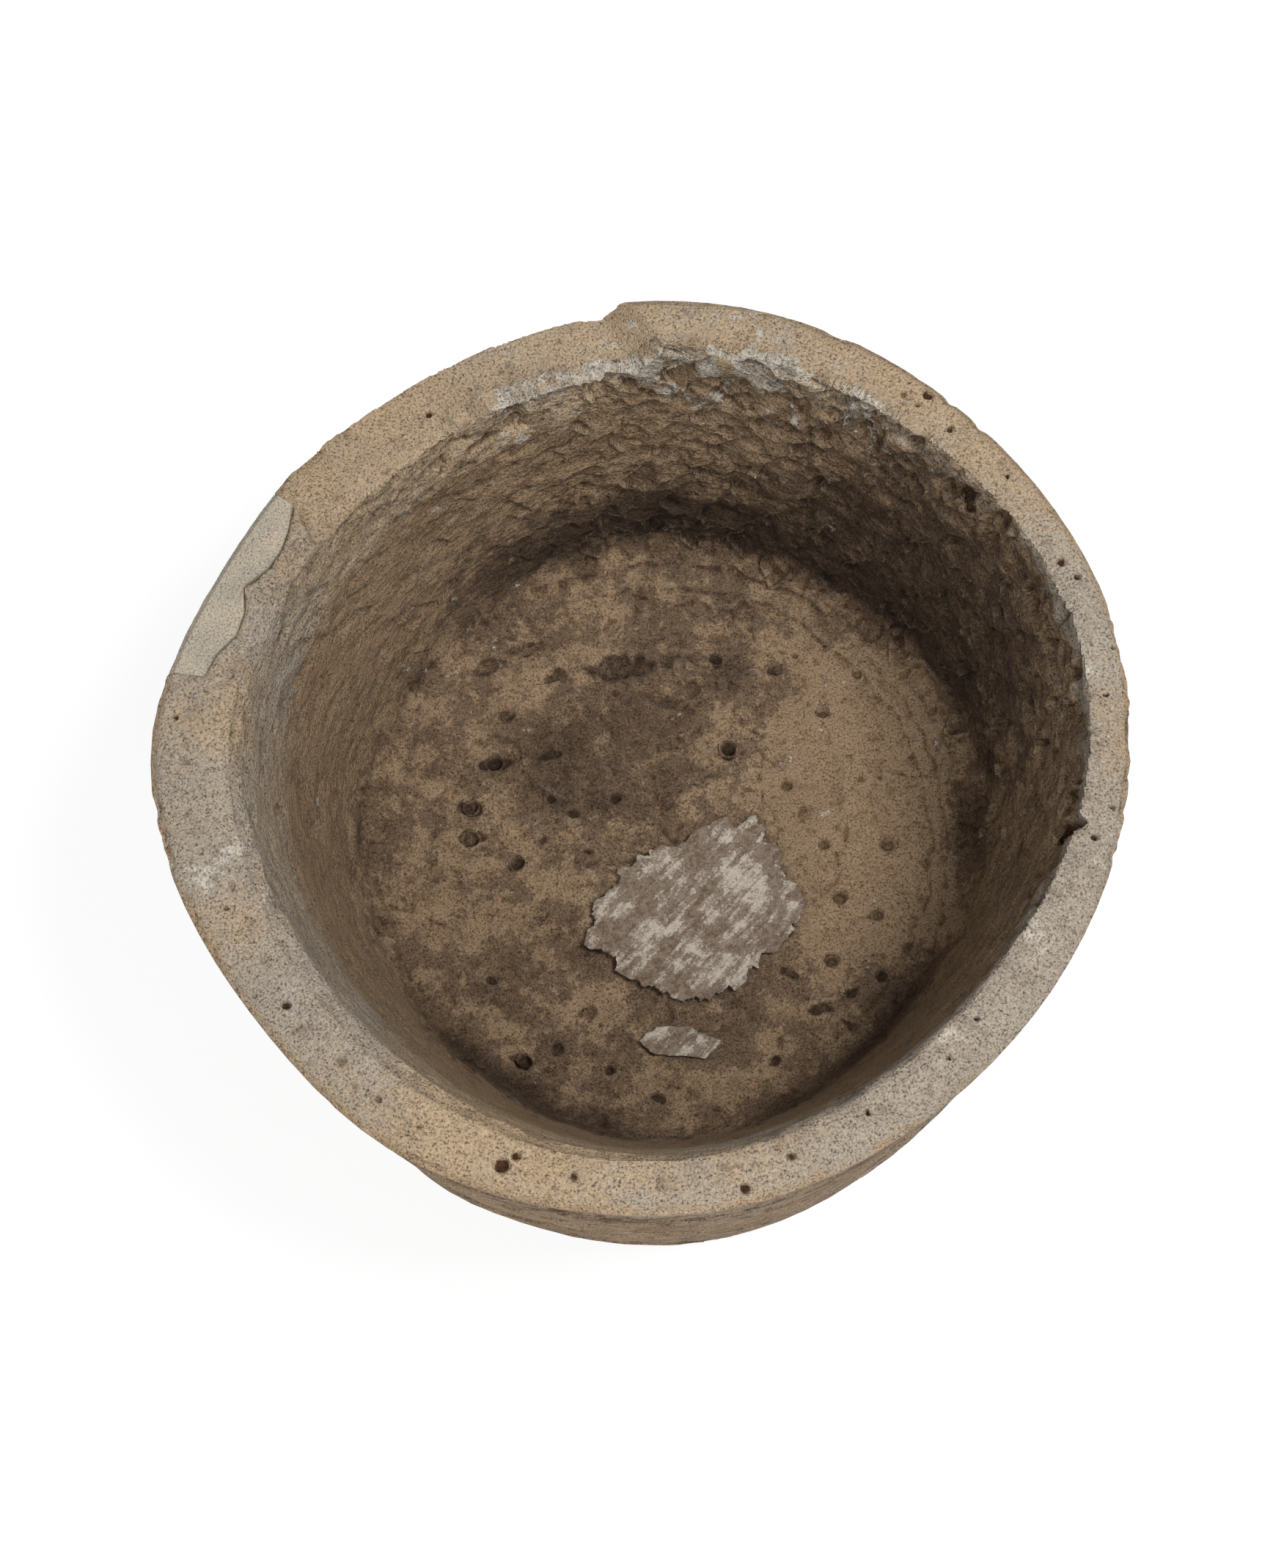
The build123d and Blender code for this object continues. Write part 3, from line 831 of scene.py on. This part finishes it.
    def bloom(self, place, patches):
        """Lime on stretches of the rim, below the lip at the back and left, and twice on the floor."""
        turn = place.turn
        low = place.bowl_floor
        high = place.bowl_wall
        bloom = place.rim * (0.5 * arc(turn, 194.0, 206.0, 5.0) + 0.42 * arc(turn, 300.0, 345.0, 10.0))
        bloom += place.rim * (0.4 * arc(turn, -16.0, 24.0, 6.0) + 0.4 * arc(turn, 70.0, 112.0, 6.0))
        bloom += high * 0.95 * smooth(-place.drop, -110.0, -6.0) * arc(turn, *WHITE_CRUST)
        bloom += high * 0.2 * arc(turn, 130.0, 240.0, 20.0)
        bloom += low * 0.22 * blot(place.floor_x, place.floor_y, (165.0, 30.0), (90.0, 160.0))
        bloom += low * 0.2 * blot(place.floor_x, place.floor_y, (-150.0, 130.0), (60.0, 60.0))
        return bloom * (0.6 + 0.9 * patches)


class TROUGH_OT_set_repair(bpy.types.Operator):
    """Dress the grey piece that is let into the rim"""

    bl_idname = "trough.set_repair"
    bl_label = "Set the grey piece"

    def execute(self, context):
        sizes = context.scene.trough_sizes
        piece = take_copy("rim_repair", "grey_rim_piece")
        cell = sizes.carving_step * REPAIR_FINENESS
        apply_modifier(piece, "REMESH", mode="VOXEL", voxel_size=cell)
        points, normals = read_points(piece)
        place = Survey(points, normals)
        grit = rough(points, 9.0, 3, 51)
        uneven = rough(points, 48.0, 3, 61)
        shown = np.clip(place.rim + place.outside, 0.0, 1.0)
        depth = shown * (0.35 * (grit + 1.0) + 0.8 * (uneven + 1.0))
        write_points(piece, points + place.into_stone() * depth[:, None], "rim_repair")
        thin_out(piece, REPAIR_TRIANGLES)
        hand_over(piece, "rim_repair", repair_material(context.scene.trough_tones))
        return {"FINISHED"}


class TROUGH_OT_lay_mortar(bpy.types.Operator):
    """Trowel the two skins of mortar onto the floor"""

    bl_idname = "trough.lay_mortar"
    bl_label = "Lay the mortar"

    def execute(self, context):
        material = mortar_material(context.scene.trough_tones)
        for node, name, most, faces in MORTAR_SKINS:
            self.trowel(context, node, name, most, faces, material)
        return {"FINISHED"}

    def trowel(self, context, node, name, most, faces, material):
        """Rough the top, thin it in places and crumble its edge."""
        piece = take_copy(node, name)
        cell = context.scene.trough_sizes.mortar_step * 1.0
        apply_modifier(piece, "REMESH", mode="VOXEL", voxel_size=cell)
        points, normals = read_points(piece)
        streak = math.radians(TROWEL_LEAN)
        along = points[:, 0] * math.cos(streak) + points[:, 1] * math.sin(streak)
        side = points[:, 1] * math.cos(streak) - points[:, 0] * math.sin(streak)
        trowelled = rough(np.stack([0.2 * along, side, points[:, 2]], axis=1), 8.0, 3, 301)
        lumps = rough(points, 14.0, 4, 311)
        top = smooth(normals[:, 2], 0.2, 0.6)
        wear = np.clip(0.5 + 0.9 * lumps + 0.4 * trowelled, 0.0, 1.0)
        away = points[:, :2] - 0.5 * (points.min(axis=0) + points.max(axis=0))[:2]
        reach = np.hypot(away[:, 0], away[:, 1])
        turn = np.degrees(np.arctan2(away[:, 1], away[:, 0])) % 360.0
        outline = edge_line(turn, reach, np.abs(normals[:, 2]) < 0.4)
        crumbled = np.clip(0.25 + 1.6 * rough(points * np.array((1.0, 1.0, 0.0)), 16.0, 4, 321), 0.0, 1.0)
        crumbled *= smooth(reach / outline, 0.6, 1.0)
        moved = points.copy()
        moved[:, :2] -= away * (0.17 * crumbled)[:, None]
        thinned = np.maximum(wear, smooth(side + 0.4 * along, 10.0, 60.0) * smooth(reach / outline, 0.5, 0.9))
        moved[:, 2] -= top * most * (0.1 + 0.8 * thinned)
        write_points(piece, moved, node)
        write_mask(piece, "thin", 0.3 + 0.5 * wear)
        thin_out(piece, faces)
        hand_over(piece, node, material)


# The stage: where the camera and the lamps are, in metres, and how strong the light is
CAMERA_PLACE = (-0.0044, -0.4931, 1.8216)
CAMERA_LEAN = 17.0          # degrees from straight down
LAMPS = (
    # name, place, side of the softbox, watts
    ("key_softbox", (1.15, -0.05, 2.9), 0.7, 60.0),
    ("fill_softbox", (-0.3, -1.8, 2.7), 2.0, 48.0),
)
LAMP_AIM = 0.2              # level of the point that the lamps face
ROOM_LIGHT = 0.38           # strength of the light that comes from all round
WHITE = (1.0, 1.0, 1.0, 1.0)
PAPER_GLOW = 0.78           # share of plain white in the paper, so that it is white and still keeps a shadow


class TROUGH_OT_set_stage(bpy.types.Operator):
    """Set the floor, the lamps and the camera"""

    bl_idname = "trough.set_stage"
    bl_label = "Set the stage"

    def execute(self, context):
        scene = context.scene
        scene.view_settings.view_transform = "Standard"
        bpy.ops.object.select_all(action="DESELECT")
        bpy.ops.mesh.primitive_plane_add(size=24.0, location=(0.0, 0.0, 0.0))
        ground = context.object
        ground.name = "studio_floor"
        ground.data.materials.append(self.floor_material())

        for name, place, size, power in LAMPS:
            self.lamp(name, place, size, power)
        self.light_room(scene)

        bpy.ops.object.camera_add(location=CAMERA_PLACE, rotation=(math.radians(CAMERA_LEAN), 0.0, 0.0))
        camera = context.object
        camera.name = "camera"
        camera.data.lens = 50.0
        camera.data.sensor_width = 36.0
        camera.data.clip_end = 60.0
        scene.camera = camera
        return {"FINISHED"}

    def lamp(self, name, place, size, power):
        """A square softbox that faces the trough."""
        bpy.ops.object.light_add(type="AREA", location=place)
        lamp = bpy.context.object
        lamp.name = name
        lamp.data.shape = "SQUARE"
        lamp.data.size = size
        lamp.data.energy = power
        away = lamp.location.copy()
        away.z -= LAMP_AIM
        lamp.rotation_euler = away.to_track_quat("Z", "Y").to_euler()

    def seen_as_white(self, tree):
        """1 where the camera or a glossy surface looks, and 0 for the light that falls on the trough."""
        rays = put(tree, "LightPath")
        return put(tree, "Math", {0: rays["Is Camera Ray"], 1: rays["Is Glossy Ray"]}, operation="MAXIMUM")[0]

    def light_room(self, scene):
        """Soft light from all round, white where it is seen."""
        world = bpy.data.worlds.new("Studio")
        world.use_nodes = True
        scene.world = world
        tree = world.node_tree
        tree.nodes.clear()
        strength = put(tree, "MapRange", {"Value": self.seen_as_white(tree), "To Min": ROOM_LIGHT})["Result"]
        sky = put(tree, "Background", {"Color": WHITE, "Strength": strength})
        put(tree, "OutputWorld", {"Surface": sky[0]})

    def floor_material(self):
        """White studio paper: it keeps the trough's shadow, and the camera sees the rest as white."""
        material = bpy.data.materials.new("White studio paper")
        material.use_nodes = True
        tree = material.node_tree
        tree.nodes.clear()
        paper = put(tree, "BsdfDiffuse", {"Color": (0.8, 0.8, 0.8, 1.0)})
        glow = put(tree, "Emission", {"Color": WHITE, "Strength": 1.08})
        share = put(tree, "Math", {0: self.seen_as_white(tree), 1: PAPER_GLOW}, operation="MULTIPLY")[0]
        both = put(tree, "MixShader", {"Fac": share, 1: paper[0], 2: glow[0]})
        put(tree, "OutputMaterial", {"Surface": both[0]})
        return material


class TROUGH_PT_panel(bpy.types.Panel):
    """The trough's steps, sizes and colours"""

    bl_label = "Trough"
    bl_space_type = "VIEW_3D"
    bl_region_type = "UI"
    bl_category = "Trough"

    def draw(self, context):
        column = self.layout.column()
        for step_class in STEPS:
            column.operator(step_class.bl_idname)
        for group in (context.scene.trough_sizes, context.scene.trough_tones):
            for key in group.__annotations__:
                column.prop(group, key)


STEPS = (TROUGH_OT_set_stage, TROUGH_OT_carve_block, TROUGH_OT_set_repair, TROUGH_OT_lay_mortar)
CLASSES = (TroughSizes, TroughTones) + STEPS + (TROUGH_PT_panel,)


def register():
    for each in CLASSES:
        bpy.utils.register_class(each)
    bpy.types.Scene.trough_sizes = PointerProperty(type=TroughSizes)
    bpy.types.Scene.trough_tones = PointerProperty(type=TroughTones)


def unregister():
    del bpy.types.Scene.trough_tones
    del bpy.types.Scene.trough_sizes
    for each in reversed(CLASSES):
        bpy.utils.unregister_class(each)


def main():
    register()
    bpy.ops.trough.set_stage()
    bpy.ops.trough.carve_block()
    bpy.ops.trough.set_repair()
    bpy.ops.trough.lay_mortar()


if __name__ == "__main__":
    main()
